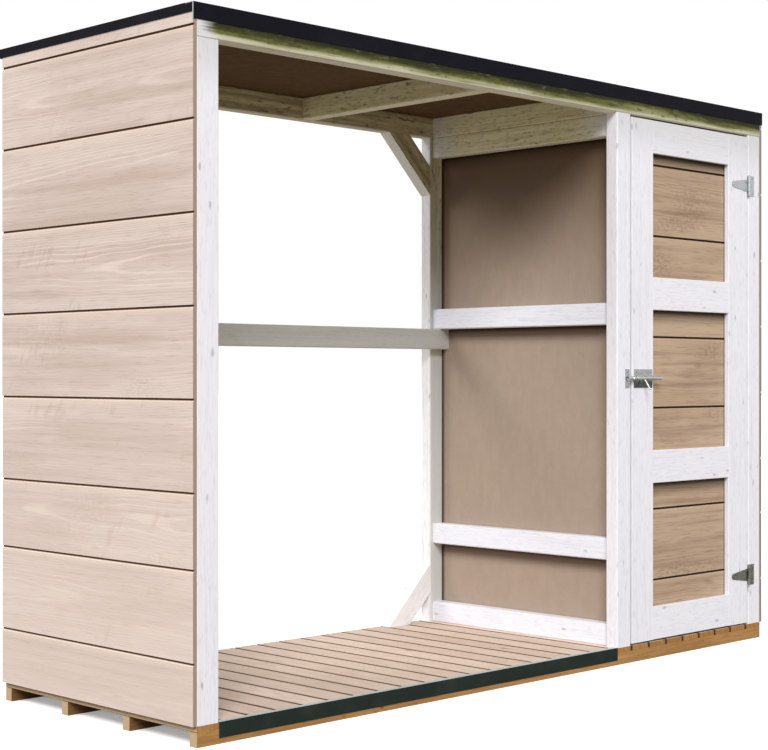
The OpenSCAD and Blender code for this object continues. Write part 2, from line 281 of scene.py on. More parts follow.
def make_arched_rings():
    group, given, result = open_group(
        "Arched rings",
        {"Along": 0.0, "Across": 0.0, "Seed": 0.0, "Arches": 9.0, "Edge lines": 8.0, "Bend": 3.2},
        ("Dark", "Light"),
    )
    across, seed = given["Across"], given["Seed"]
    chance = luck_of(group, seed)
    heading = ramp(group, chance, 0.49, 0.51, -1.0, 1.0)
    started = plus(group, given["Along"], times(group, chance, RING_START))
    drift_spot = spot_at(group, times(group, started, DRIFT_ALONG), 0.0, times(group, seed, DRIFT_STEP))
    drift = minus(group, noise(group, drift_spot, detail=1.0), 0.5)
    off = minus(group, across, times(group, times(group, drift, DRIFT_SIZE), given["Bend"]))
    bowed = times(group, times(group, off, off), given["Edge lines"])
    along = times(group, times(group, started, given["Arches"]), heading)
    bend_spot = spot_at(
        group, times(group, started, BEND_ALONG),
        times(group, across, BEND_ACROSS), times(group, seed, BEND_STEP),
    )
    bend = times(group, noise(group, bend_spot, detail=3.0), given["Bend"])
    count = plus(group, plus(group, bowed, along), bend)
    wave = maths(group, "SINE", times(group, count, math.tau))
    made = {"Dark": ramp(group, wave, 0.1, 1.0), "Light": ramp(group, wave, -1.0, -0.55, 1.0, 0.0)}
    return close_group(group, result, made)


arched_rings = make_arched_rings()

# %% [markdown]
# ## Grain direction
# A post's grain runs up, a rail's runs back, a header's runs along the front and a brace's runs at a slant.
# The figure group wants the grain along X, so a Mapping node turns the object's own coordinates first. That
# keeps one wood for all.

# %% Place and facing helpers
GRAIN_TURNS = {
    "x": (0, 0, 0),
    "y": (0, 0, math.radians(-90)),
    "z": (0, math.radians(90), 0),
    "rising": (0, math.radians(45), 0),
    "falling": (0, math.radians(-45), 0),
}


def object_place(tree):
    """Where on the object a point lies."""
    return node(tree, "ShaderNodeTexCoord").outputs["Object"]


def grain_vector(tree, direction):
    """The point's place, turned so that the grain runs along X."""
    inputs = {"Vector": object_place(tree), "Rotation": GRAIN_TURNS[direction]}
    return node(tree, "ShaderNodeMapping", inputs).outputs[0]


def place_values(tree):
    """X, Y and Z of a point on the object, as three values."""
    return parts_of(tree, object_place(tree))


def facing_values(tree):
    """X, Y and Z of the way that a face looks, as three values."""
    return parts_of(tree, node(tree, "ShaderNodeTexCoord").outputs["Normal"])


def looks_low(tree, value):
    """1 on faces that look towards the low end of an axis, such as forwards on Y."""
    return ramp(tree, value, -0.8, -0.4, 1.0, 0.0)


def looks_along(tree, value, low, high):
    """1 on faces that look along an axis, either way."""
    return ramp(tree, maths(tree, "ABSOLUTE", value), low, high)


# %% Material helpers
def start_material(name):
    """An empty material with its shader, and the tree to fill."""
    material = bpy.data.materials.new(name)
    material.use_nodes = True
    tree = material.node_tree
    return material, tree, tree.nodes["Principled BSDF"]


def plug(tree, shader, colour, pattern, roughness, height, depth, specular=0.5):
    """Colour, roughness and relief into the shader.

    Roughness goes from its first value to its second over the pattern, and a height of 1 stands depth
    metres proud.
    """
    tree.links.new(colour, shader.inputs["Base Color"])
    tree.links.new(ramp(tree, pattern, 0.3, 0.7, *roughness), shader.inputs["Roughness"])
    bump = node(tree, "ShaderNodeBump", {"Height": height, "Strength": 1.0, "Distance": depth})
    tree.links.new(bump.outputs[0], shader.inputs["Normal"])
    shader.inputs["Specular IOR Level"].default_value = specular


def dress(material, *names):
    """Gives CAD nodes a material in place of the plain one they came with."""
    for name in names:
        slots = nodes[name].data.materials
        slots.clear()
        slots.append(material)
    print(material.name, "on", len(names), "pieces")


# %% [markdown]
# ## White painted timber
# Thin white paint on softwood lets a trace of grain and small grey knots through. Under the roof the paint
# has turned khaki with damp and dark specks, and the khaki is partly painted shade: it keeps mostly to
# faces that look forwards, is lighter on undersides and thins out towards the ends of the beams. The stain
# could be painted by hand on each piece. As one group that grows between two heights it fits every piece,
# so a post can be clean below and stained above.

# %% Stain and shade group
def make_stain_and_shade():
    group, given, result = open_group(
        "Stain and shade",
        {"Vector": None, "Height": 0.0, "Clean below": 1.0, "Full above": 1.6, "Ragged": 0.1, "Reach": 1.0},
        ("Stain", "Specks"),
    )
    patch = grain_noise(group, given["Vector"], along=3.0, across=14.0, detail=4.0, roughness=0.6)
    lift = times(group, minus(group, patch, 0.5), given["Ragged"])
    height = plus(group, given["Height"], lift)
    stain = times(group, ramp(group, height, given["Clean below"], given["Full above"]), given["Reach"])
    dots = grain_noise(group, given["Vector"], along=30.0, across=105.0, detail=3.0, roughness=0.6)
    specks = times(group, ramp(group, dots, 0.56, 0.72), stain)
    return close_group(group, result, {"Stain": stain, "Specks": specks})


stain_and_shade = make_stain_and_shade()

# %% [markdown]
# ## Green film and shade in the door gaps
# The front header has a green film, thick under the roof's edge strip, thin further down and ragged at its
# left end; near the strip it darkens further as a painted shadow. The narrow gap over the door is painted
# nearly black and the sides of the gaps beside it grey, both as painted shade. All of them follow the
# heights and sides of the pieces themselves, so they stay where that film and shade would lie.

# %% Green film and strip shadow
# Film colours from the header's foot up to the strip; the darkest steps, near the strip, are a painted
# shadow under it.
FILM_AND_SHADOW_STEPS = (
    (0.0, shade(194, 191, 168)), (0.2, shade(146, 145, 106)), (0.42, shade(108, 109, 64)),
    (0.7, shade(84, 86, 44)), (1.0, shade(42, 44, 26)),
)
FILM_DARK = shade(46, 48, 22)
FILM_LIGHT = shade(130, 132, 78)
FILM_SPECK = shade(30, 30, 14)
FILM_WAVER = 0.16
FILM_START = 0.06
FILM_UNEVEN = 0.045
FILM_FOOT = 0.002
FILM_SPECKS_FULL = 0.016
header_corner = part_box("front_header")[0]
header_low = header_corner.z
header_left = header_corner.x
frame_front = header_corner.y
strip_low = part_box("front_strip")[0].z


def film_and_strip_shadow(tree, colour, vector, figure, place, forward):
    """The header's colour with the film over its front, darkening towards the strip as a painted shadow."""
    uneven = minus(tree, plus(tree, figure["Streak"], figure["Cloud"]), 1.0)
    start = plus(tree, place["X"], times(tree, uneven, FILM_WAVER))
    grown = times(tree, forward, ramp(tree, start, header_left, header_left + FILM_START))
    height = plus(tree, place["Z"], times(tree, uneven, FILM_UNEVEN))
    level = ramp(tree, height, header_low - FILM_FOOT, strip_low)
    thick = ramp(tree, level, 0.1, 0.45)
    mottle = grain_noise(tree, vector, along=24.0, across=85.0, detail=3.0, roughness=0.6)
    film = coats(
        tree, colour_steps(tree, level, FILM_AND_SHADOW_STEPS),
        (times(tree, thick, ramp(tree, mottle, 0.46, 0.68)), 0.55, FILM_DARK),
        (times(tree, thick, ramp(tree, mottle, 0.28, 0.46, 1.0, 0.0)), 0.3, FILM_LIGHT),
    )
    green = place_group(
        tree, stain_and_shade,
        {
            "Vector": vector, "Height": place["Z"], "Clean below": header_low,
            "Full above": header_low + FILM_SPECKS_FULL, "Ragged": 0.02, "Reach": grown,
        },
    )
    return tint(tree, blend_colour(tree, grown, colour, film), green["Specks"], 0.8, FILM_SPECK)


# %% Painted shade round the door
GAP_SHADE = shade(34, 32, 30)
GAP_SIDE_SHADE = shade(104, 101, 98)
SHADE_BEGINS, SHADE_FULL = 0.006, 0.014
SIDE_NEAR, SIDE_FAR = 0.0006, 0.0014
door_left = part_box("door_latch_stile")[0].x
door_gap_sides = (
    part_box("partition_front_post")[1].x, door_left,
    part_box("door_hinge_stile")[1].x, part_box("right_front_post")[0].x,
)


def gap_shade(tree, colour, place, facing, below, shade_under, gap_sides):
    """Painted shade under a piece from X = shade_under on, and on the sides that look into the door's gaps.
    """
    if shade_under is not None:
        inside = ramp(tree, place["Y"], frame_front + SHADE_BEGINS, frame_front + SHADE_FULL)
        shaded_under = times(tree, below, maths(tree, "GREATER_THAN", place["X"], shade_under))
        colour = tint(tree, colour, times(tree, shaded_under, inside), 0.95, GAP_SHADE)
    for side in gap_sides:
        sideways = looks_along(tree, facing["X"], 0.8, 0.95)
        distance = maths(tree, "ABSOLUTE", minus(tree, place["X"], side))
        dust_and_shade = times(tree, sideways, ramp(tree, distance, SIDE_NEAR, SIDE_FAR, 1.0, 0.0))
        colour = tint(tree, colour, dust_and_shade, 0.22, GAP_SIDE_SHADE)
    return colour


# %% [markdown]
# ## Paint, coat by coat
# The paint is built up coat by coat: fibres, flecks and knots showing through, painted shade under the roof
# and on faces that look forwards, cream on undersides as painted light, dust with painted shade on ledges,
# then the khaki of damp stain and painted shade with its own streaks and specks, and last the film and the
# painted shade in the door's gaps. Each coat is a mask, a strength and a colour.

# %% Paint colours
WHITE_PAINT = shade(239, 237, 245)
# A cooler white for the crosswise rails, painted to offset the warm light bounced up from the deck.
COOL_PAINT = shade(238, 240, 249)
# A darker white for the near corner post, painted shade against the lamp's extra light there.
PAINTED_SHADE_WHITE = shade(234, 232, 241)
# A near-white for the sides of the rear posts and braces, painted light where the lamps reach little.
PAINTED_LIGHT_WHITE = shade(250, 249, 253)
PAINT_SHADOW = shade(216, 215, 224)
PAINT_FLECK = shade(208, 207, 217)
PAINT_KNOT = shade(146, 146, 154)
# Cream on undersides is painted light, standing in for the warm light bounced up from the ground.
UNDERSIDE_LIGHT = shade(232, 220, 186)
# Dust on upward faces, which also tones them down as painted shade.
LEDGE_DUST_AND_SHADE = shade(204, 201, 196)
# Grey is painted shade, under the header and on faces that look forwards deep in the store.
PAINTED_SHADE_GREY = shade(186, 187, 182)
# Khaki is damp stain and painted shade together; the pale khaki is lighter than stain would be, as painted
# light in the roof's deep shade.
MID_KHAKI = (shade(234, 223, 188), shade(176, 162, 120))
DEEP_KHAKI = (shade(214, 200, 154), shade(152, 136, 90))
PALE_KHAKI = (shade(255, 250, 216), shade(230, 220, 160))
SPECK = shade(62, 53, 37)

# %% Painted timber material
NEVER = (50.0, 51.0)
SHADE_REACH = 0.16
END_FADE = 0.16
END_STAIN = 0.25
FILM_SPECULAR = 0.1


def painted_timber(
    name, direction, stain=NEVER, ragged=0.2, khaki=DEEP_KHAKI, forward_only=False, forward_shade=0.0,
    white=WHITE_PAINT, film=False, shade_under=None, gap_sides=(), clean_ends=None,
):
    """White paint on timber; stain gives the heights where the khaki begins and where it is full. The khaki
    is damp stain and painted shade together.

    forward_shade is how far faces that look forwards are painted grey as painted shade, shade_under the X
    from which faces that look down are painted dark as painted shade, gap_sides the X of sides that look
    into the narrow gaps beside the door, painted grey there as painted shade, and clean_ends the Y of both
    ends of a piece whose stain thins out towards them.
    """
    material, tree, shader = start_material(name)
    vector = grain_vector(tree, direction)
    figure = place_group(tree, wood_figure, {"Vector": vector, "Knots": 0.42, "Knot scale": 3.4})
    place = place_values(tree)
    facing = facing_values(tree)
    forward = looks_low(tree, facing["Y"])
    # Faces that look down get painted light: less khaki and a coat of cream.
    below = ramp(tree, facing["Z"], -0.9, -0.6, 1.0, 0.0)
    reach = ramp(tree, facing["Z"], -0.9, -0.4, 0.35, 1.0)
    # Where the khaki keeps to forward faces, it is painted shade there.
    if forward_only:
        reach = times(tree, reach, forward)
    if clean_ends is not None:
        from_front = minus(tree, place["Y"], clean_ends[0])
        from_rear = minus(tree, clean_ends[1], place["Y"])
        end = maths(tree, "MINIMUM", from_front, from_rear)
        reach = times(tree, reach, ramp(tree, end, 0.0, END_FADE, END_STAIN, 1.0))
    stain_shade = place_group(
        tree, stain_and_shade,
        {
            "Vector": vector, "Height": place["Z"], "Clean below": stain[0], "Full above": stain[1],
            "Ragged": ragged, "Reach": reach,
        },
    )
    # Painted shade: forward faces go grey just under the header.
    under_roof = times(tree, forward, ramp(tree, place["Z"], header_low - SHADE_REACH, header_low))
    stained = coats(
        tree, blend_colour(tree, ramp(tree, figure["Streak"], 0.3, 0.7), *khaki),
        (ramp(tree, figure["Fibre"], 0.5, 0.72), 0.7, khaki[1]),
        (figure["Fleck"], 0.3, SPECK),
    )
    colour = coats(
        tree, blend_colour(tree, ramp(tree, figure["Fibre"], 0.45, 0.8, 0.0, 0.6), white, PAINT_SHADOW),
        (ramp(tree, figure["Streak"], 0.5, 0.75), 0.4, PAINT_SHADOW),
        (figure["Fleck"], 0.4, PAINT_FLECK),
        (figure["Knot"], 0.6, PAINT_KNOT),
        (under_roof, 0.45, PAINTED_SHADE_GREY),
        (forward, forward_shade, PAINTED_SHADE_GREY),
        (below, 0.6, UNDERSIDE_LIGHT),
        (ramp(tree, facing["Z"], 0.4, 0.7), 0.35, LEDGE_DUST_AND_SHADE),
        (stain_shade["Stain"], 0.92, stained),
        (stain_shade["Specks"], 0.7, SPECK),
    )
    if film:
        colour = film_and_strip_shadow(tree, colour, vector, figure, place, forward)
    colour = gap_shade(tree, colour, place, facing, below, shade_under, gap_sides)
    relief = plus(tree, figure["Fibre"], times(tree, figure["Streak"], 0.6))
    gloss = FILM_SPECULAR if film else 0.5
    plug(tree, shader, colour, figure["Fibre"], (0.5, 0.64), relief, 0.0005, gloss)
    return material


# %% Painted pieces
dress(
    painted_timber("paint_upright", "z", gap_sides=door_gap_sides),
    "partition_front_post", "right_front_post", "door_latch_stile", "door_hinge_stile",
)
dress(painted_timber("paint_corner_post", "z", white=PAINTED_SHADE_WHITE), "left_front_post")
dress(
    painted_timber("paint_upright_rear", "z", (0.95, 1.75), 0.3, MID_KHAKI, True, 0.8, PAINTED_LIGHT_WHITE),
    "left_rear_post", "partition_rear_post", "right_rear_post",
)
dress(painted_timber("paint_lengthwise", "x", shade_under=door_left), "door_rails", "back_rails")
dress(painted_timber("paint_rear_rail", "x", (0.8, 1.9), 0.4, forward_shade=0.82), "rear_rail")
dress(painted_timber("paint_front_header", "x", film=True, shade_under=door_left), "front_header")
dress(painted_timber("paint_rear_header", "x", (1.5, 1.6)), "rear_header")
rail_low, rail_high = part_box("partition_rails")
rail_ends = (rail_low.y, rail_high.y)
dress(
    painted_timber(
        "paint_crosswise", "y", (1.5, 1.7), 0.25, khaki=PALE_KHAKI, white=COOL_PAINT, clean_ends=rail_ends,
    ),
    "left_rails", "partition_rails", "right_rails",
)
dress(painted_timber("paint_rafter", "y", (1.5, 1.6), khaki=PALE_KHAKI), "bay_rafter")
dress(
    painted_timber("paint_end_rafter", "y", (1.5, 1.6), khaki=PALE_KHAKI, clean_ends=rail_ends),
    "left_rafter", "partition_rafter", "right_rafter",
)
for lean, braces in (
    ("rising", ("brace_top_left", "brace_bottom_right")),
    ("falling", ("brace_top_right", "brace_bottom_left")),
):
    dress(
        painted_timber("paint_brace_" + lean, lean, (1.0, 1.4), 0.4, DEEP_KHAKI, True, 0.3, PAINTED_LIGHT_WHITE),
        *braces,
    )

# %% [markdown]
# ## Grooved sheets
# The walls and the door panels are wood-fibre sheets with a printed grain and pressed grooves. The back is
# plain brown, and a cut edge shows the core. A picture could carry the print, but nodes stay sharp at any
# distance and never repeat. The print itself is quiet: short dark dashes along the grain, slow bands of
# tone, long pale flames, faint whorls, and here and there some slanted rays or a mottled burl.

# %% Printed grain group
PRINT_STEP = (2.31, 0.0, 1.07)
RAY_LEAN = 0.5
RAYS_ALONG, RAYS_ACROSS = 42.0, 16.0
OFF_LATTICE = 0.37


def make_printed_grain():
    group, given, result = open_group(
        "Printed grain", {"Vector": None, "Seed": 0.0}, ("Dashes", "Bands", "Rays", "Burls"),
    )
    spot = seeded(group, given["Vector"], PRINT_STEP, given["Seed"])
    dashes = grain_noise(group, spot, along=14.0, across=230.0)
    part = parts_of(group, spot)
    lean = plus(group, part["X"], times(group, part["Z"], RAY_LEAN))
    ray_rise = times(group, part["Z"], RAYS_ACROSS)
    ray_spot = spot_at(group, times(group, lean, RAYS_ALONG), OFF_LATTICE, ray_rise)
    rays = ramp(group, noise(group, ray_spot, detail=1.0), 0.54, 0.68)
    ray_place = ramp(group, grain_noise(group, spot, along=3.4, across=11.0, detail=1.0), 0.6, 0.68)
    mottle = grain_noise(group, spot, along=62.0, across=105.0, detail=3.0, roughness=0.6)
    burl_place = ramp(group, grain_noise(group, spot, along=2.7, across=7.0, detail=1.0), 0.55, 0.74)
    made = {
        "Dashes": ramp(group, dashes, 0.52, 0.74),
        "Bands": grain_noise(group, spot, along=0.9, across=42.0, detail=3.0, roughness=0.6),
        "Rays": times(group, rays, ray_place),
        "Burls": times(group, ramp(group, mottle, 0.4, 0.66), burl_place),
    }
    return close_group(group, result, made)


printed_grain = make_printed_grain()

# %% [markdown]
# ## Courses
# Each course between two grooves looks like a plank of its own, so the groove below a point gives both the
# seed and the middle of the plank. The grooves' heights are read off the sheet's own corners, so the
# courses always match the shape. The undersides of rails, under which a painted shadow falls on the
# sheets, are read in the same way.

# %% Course heights
COURSE_HALF = 0.115
FLAT = 0.001


def groove_heights(name, axis):
    """Heights of the grooves' floors: the corners that lie neither on the face nor on the back."""
    low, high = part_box(name)
    found = set()
    for corner in nodes[name].data.vertices:
        if low[axis] + FLAT < corner.co[axis] < high[axis] - FLAT:
            found.add(round(corner.co.z, 4))
    return sorted(found)[::2]


def course_values(tree, up, grooves):
    """How many grooves lie below a point, and the height of the nearest of them."""
    count = 0.0
    base = grooves[0] - 2 * COURSE_HALF
    for below, groove in zip([base] + grooves, grooves):
        passed = maths(tree, "GREATER_THAN", up, groove)
        count = plus(tree, passed, count)
        base = plus(tree, times(tree, passed, groove - below), base)
    return count, base


wall_grooves = groove_heights("left_cladding", 0)
panel_grooves = groove_heights("door_panels", 1)
print("wall grooves", wall_grooves)
print("panel grooves", panel_grooves)

# %% Painted shadow under edges
PAINTED_SHADE_BROWN = shade(44, 31, 18)


def underside_heights(name):
    """Heights of a piece's faces that look down."""
    faces = nodes[name].data.polygons
    return sorted({round(face.center.z, 4) for face in faces if face.normal.z < -0.99})


def below_edges(tree, up, edges, reach):
    """A mask that is full just under each of these heights and fades out downwards."""
    mask = 0.0
    for edge in edges:
        near = maths(tree, "LESS_THAN", up, edge + FLAT)
        near = times(tree, near, ramp(tree, up, edge - reach, edge))
        mask = maths(tree, "MAXIMUM", near, mask)
    return mask


def painted_rail_shadow(tree, colour, up, edges, reach, strength):
    """Painted shadow under rails: nearly black at the rail, then a soft shade."""
    return coats(
        tree, colour,
        (below_edges(tree, up, edges, reach), strength, PAINTED_SHADE_BROWN),
        (below_edges(tree, up, edges, reach * 0.3), 0.9, PAINTED_SHADE_BROWN),
    )


# %% Grooved sheet material
SHEET_BACK = shade(172, 154, 139)
SHEET_BACK_DARK = shade(162, 143, 127)
SHEET_DEPTH = 0.0105
LIP_HIGHLIGHT = 0.6
LIP_REACH = 0.02
STILE_SHADOW = 0.007
PAINTED_LIGHT_FULL, PAINTED_LIGHT_NONE = 0.1, 1.3


def grooved_sheet(name, node_name, direction, outward, grooves, tones, seed, rails=(), stiles=None):
    """Printed sheet; outward is its face's axis with its sign; a painted shadow falls under rails and at
    stiles.
    """
    axis = "XYZ".index(outward[1])
    sign = -1.0 if outward[0] == "-" else 1.0
    low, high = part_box(node_name)
    face = low[axis] if sign < 0 else high[axis]
    material, tree, shader = start_material(name)
    place = place_values(tree)
    up, along = place["Z"], direction.upper()
    count, base = course_values(tree, up, grooves)
    plank = plus(tree, count, seed)
    rise = minus(tree, minus(tree, up, base), COURSE_HALF)
    rings = place_group(
        tree, arched_rings,
        {
            "Along": place[along], "Across": maths(tree, "DIVIDE", rise, COURSE_HALF),
            "Seed": plank, "Arches": 2.0, "Edge lines": 12.0, "Bend": 0.7,
        },
    )
    vector = grain_vector(tree, direction)
    figure = place_group(
        tree, wood_figure, {"Vector": vector, "Seed": plank, "Knots": 0.1, "Knot scale": 1.4},
    )
    grain = place_group(tree, printed_grain, {"Vector": vector, "Seed": plank})
    cloud, bands, dark, light = figure["Cloud"], grain["Bands"], tones["dark"], tones["light"]
    flames = times(tree, rings["Light"], ramp(tree, cloud, 0.44, 0.58))
    whorls = times(tree, rings["Dark"], ramp(tree, cloud, 0.4, 0.56, 1.0, 0.0))
    colour = coats(
        tree, blend_colour(tree, ramp(tree, cloud, 0.3, 0.7), tones["middle"], tones["pale"]),
        (ramp(tree, bands, 0.48, 0.7), tones["band"], dark),
        (ramp(tree, bands, 0.32, 0.48, 1.0, 0.0), 0.3, light),
        (grain["Dashes"], 0.42, dark),
        (flames, 0.6, light),
        (whorls, tones["ring"], dark),
        (grain["Rays"], tones["ray"], dark),
        (grain["Burls"], tones["burl"], dark),
        (figure["Knot"], 0.4, dark),
        # painted light: lighter towards the ground, where the lamps light the wall less
        (ramp(tree, up, PAINTED_LIGHT_FULL, PAINTED_LIGHT_NONE, 1.0, 0.0), tones["painted_light"], light),
        # a painted highlight on the lower edge under each groove
        (below_edges(tree, up, grooves, LIP_REACH), LIP_HIGHLIGHT, tones["lip"]),
    )
    deep = times(tree, minus(tree, face, place[axis]), sign)
    colour = blend_colour(tree, ramp(tree, deep, *tones["groove from"]), colour, tones["groove"])
    # A painted shadow under the door's rails and along its stiles.
    if rails:
        colour = painted_rail_shadow(tree, colour, up, rails, 0.055, 0.75)
    if stiles is not None:
        left = ramp(tree, place["X"], stiles[0], stiles[0] + STILE_SHADOW, 1.0, 0.0)
        right = ramp(tree, place["X"], stiles[1] - STILE_SHADOW, stiles[1])
        colour = tint(tree, colour, maths(tree, "MAXIMUM", left, right), 0.7, PAINTED_SHADE_BROWN)
    edge = looks_along(tree, facing_values(tree)[along], 0.5, 0.7)
    colour = blend_colour(tree, edge, colour, tones["edge"])
    fibres = noise(tree, object_place(tree), scale=60.0, detail=4.0)
    back = blend_colour(tree, fibres, SHEET_BACK, SHEET_BACK_DARK)
    colour = blend_colour(tree, maths(tree, "GREATER_THAN", deep, SHEET_DEPTH), colour, back)
    relief = minus(tree, figure["Fibre"], times(tree, grain["Dashes"], 0.5))
    plug(tree, shader, colour, figure["Fibre"], (0.55, 0.7), relief, 0.0003, 0.2)
    return material


# %% Walls and door panels
WALL_TONES = {
    "pale": shade(207, 190, 182), "middle": shade(199, 180, 171), "dark": shade(171, 150, 137),
    "light": shade(224, 208, 198), "lip": shade(226, 205, 188), "edge": shade(160, 139, 122),
    "groove": shade(80, 52, 36), "groove from": (0.0016, 0.004), "band": 0.4, "ring": 0.15,
    "ray": 0.3, "burl": 0.3, "painted_light": 0.4,
}
SIDE_TONES = {**WALL_TONES, "edge": shade(140, 136, 134)}
PANEL_TONES = {
    "pale": shade(190, 165, 141), "middle": shade(181, 155, 131), "dark": shade(130, 101, 77),
    "light": shade(198, 173, 150), "lip": shade(200, 174, 150), "edge": shade(150, 116, 90),
    "groove": shade(46, 24, 10), "groove from": (0.001, 0.002), "band": 0.45, "ring": 0.22,
    "ray": 0.08, "burl": 0.6, "painted_light": 0.0,
}

for name, wall, direction, outward, tones, seed in (
    ("sheet_left", "left_cladding", "y", "-X", WALL_TONES, 0.0),
    ("sheet_right", "right_cladding", "y", "+X", SIDE_TONES, 11.0),
    ("sheet_rear", "back_cladding", "x", "+Y", WALL_TONES, 23.0),
):
    dress(grooved_sheet(name, wall, direction, outward, wall_grooves, tones, seed), wall)
dress(
    grooved_sheet(
        "sheet_door", "door_panels", "x", "-Y", panel_grooves, PANEL_TONES, 37.0,
        rails=underside_heights("door_rails")[1:],
        stiles=(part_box("door_latch_stile")[1].x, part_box("door_hinge_stile")[0].x),
    ),
    "door_panels",
)

# %% [markdown]
# ## Plain sheets
# The partition and the roof are the same kind of sheet with its plain brown side showing: smooth, with a
# faint mottle from the fibres. The roof's underside is darker. On the bay side, painted shade darkens the
# partition towards the roof, under its rails and in the corner at the rear post.

# %% Plain sheet material
BAY_SHADE_BROWN = shade(104, 84, 66)
MOTTLE = (24.0, 30.0, 15.0)


def bay_painted_shade(tree, colour):
    """Painted shade towards the roof, under the partition's rails and along its rear post."""
    spot = place_values(tree)
    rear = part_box("partition_sheet")[1].y
    colour = tint(tree, colour, ramp(tree, spot["Z"], 1.2, 1.66), 0.9, BAY_SHADE_BROWN)
    colour = painted_rail_shadow(tree, colour, spot["Z"], underside_heights("partition_rails")[1:], 0.06, 0.6)
    return tint(tree, colour, ramp(tree, spot["Y"], rear - 0.02, rear - 0.004), 0.85, PAINTED_SHADE_BROWN)


def plain_sheet(name, light, dark, wear=None):
    """Smooth sheet; wear, when given, paints shade on the side that looks left, into the open bay."""
    material, tree, shader = start_material(name)
    place = object_place(tree)
    fine = noise(tree, place, scale=180.0, detail=3.0)
    broad = noise(tree, stretch(tree, place, MOTTLE), detail=4.0, roughness=0.6)
    mix = plus(tree, times(tree, fine, 0.4), times(tree, broad, 0.6))
    colour = blend_colour(tree, ramp(tree, mix, 0.35, 0.65), light, dark)
    if wear is not None:
        bay_side = looks_low(tree, facing_values(tree)["X"])
        colour = blend_colour(tree, bay_side, colour, wear(tree, colour))
    plug(tree, shader, colour, fine, (0.66, 0.8), fine, 0.0002, 0.04)
    return material


dress(
    plain_sheet("sheet_partition", shade(170, 152, 137), shade(165, 147, 132), bay_painted_shade),
    "partition_sheet",
)
dress(plain_sheet("sheet_roof", shade(102, 80, 56), shade(90, 69, 47)), "roof_sheet")

# %% [markdown]
# ## Deck boards and bearers
# The deck boards are planed pale wood, each a little different in tone, with the grain running from front
# to back; the gaps between them are darkened with dirt and painted shade, and the boards' sides just under
# the wall with a painted shadow. Their cut ends and the bearers below are raw pine, honey coloured with
# brown knots and paler where a saw has cut across the grain, and painted shade darkens the bearers further
# back. A board's number follows from the boards' pitch, and gives it a figure of its own.

# %% Pine colour group
PINE_LIGHT, PINE_DEEP = shade(187, 142, 86), shade(160, 113, 59)
PINE_RING, PINE_FIBRE = shade(140, 94, 48), shade(134, 90, 46)
PINE_KNOT = shade(96, 58, 30)
SAWN_PINE = shade(195, 173, 143)


def make_raw_pine():
    inputs = {"Fibre": 0.5, "Cloud": 0.5, "Dark": 0.0, "Knot": 0.0, "Sawn": 0.0}
    group, given, result = open_group("Raw pine", inputs, ("Colour",), "Color")
    colour = coats(
        group, blend_colour(group, ramp(group, given["Cloud"], 0.3, 0.7), PINE_LIGHT, PINE_DEEP),
        (given["Dark"], 0.5, PINE_RING),
        (ramp(group, given["Fibre"], 0.45, 0.75), 0.6, PINE_FIBRE),
        (given["Knot"], 0.85, PINE_KNOT),
        (given["Sawn"], 0.75, SAWN_PINE),
    )
    return close_group(group, result, {"Colour": colour})


def pine_colour(tree, figure, rings, sawn):
    """Raw pine with the figure and rings of one timber."""
    inputs = {"Dark": rings["Dark"], "Sawn": sawn}
    for label in ("Fibre", "Cloud", "Knot"):
        inputs[label] = figure[label]
    return place_group(tree, raw_pine, inputs)["Colour"]


raw_pine = make_raw_pine()

# %% Deck measures
DECK_BOARDS = 27
BOARD_FOOT = 0.004
LEAST_BOARD = 0.05
wall_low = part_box("left_cladding")[0].z
deck_low, deck_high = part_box("deck")
bearer_low, bearer_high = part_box("bearers")
deck_corners = [corner.co for corner in nodes["deck"].data.vertices]
sides = {round(corner.x, 5) for corner in deck_corners if corner.z < deck_low.z + BOARD_FOOT}
first_right = min(side for side in sides if side > deck_low.x + LEAST_BOARD)
deck_pitch = (deck_high.x - first_right) / (DECK_BOARDS - 1)
deck_gap = deck_pitch - (first_right - deck_low.x)
board_half = (deck_pitch - deck_gap) / 2
print("board pitch", round(deck_pitch * 1000, 2), "mm, gap", round(deck_gap * 1000, 2), "mm")

# %% Deck material
PLANED_LIGHT, PLANED_DEEP = shade(228, 206, 189), shade(210, 187, 169)
PLANED_RING, PLANED_FIBRE = shade(178, 146, 122), shade(176, 146, 122)
PLANED_KNOT = shade(140, 102, 76)
GAP_SHADE_AND_GRIME = shade(64, 44, 32)
GAP_REACH, GAP_EDGE = 0.0038, 0.0006
GAP_TOP_SHADE_AND_DIRT = 0.75
WALL_SHADOW_REACH = 0.008


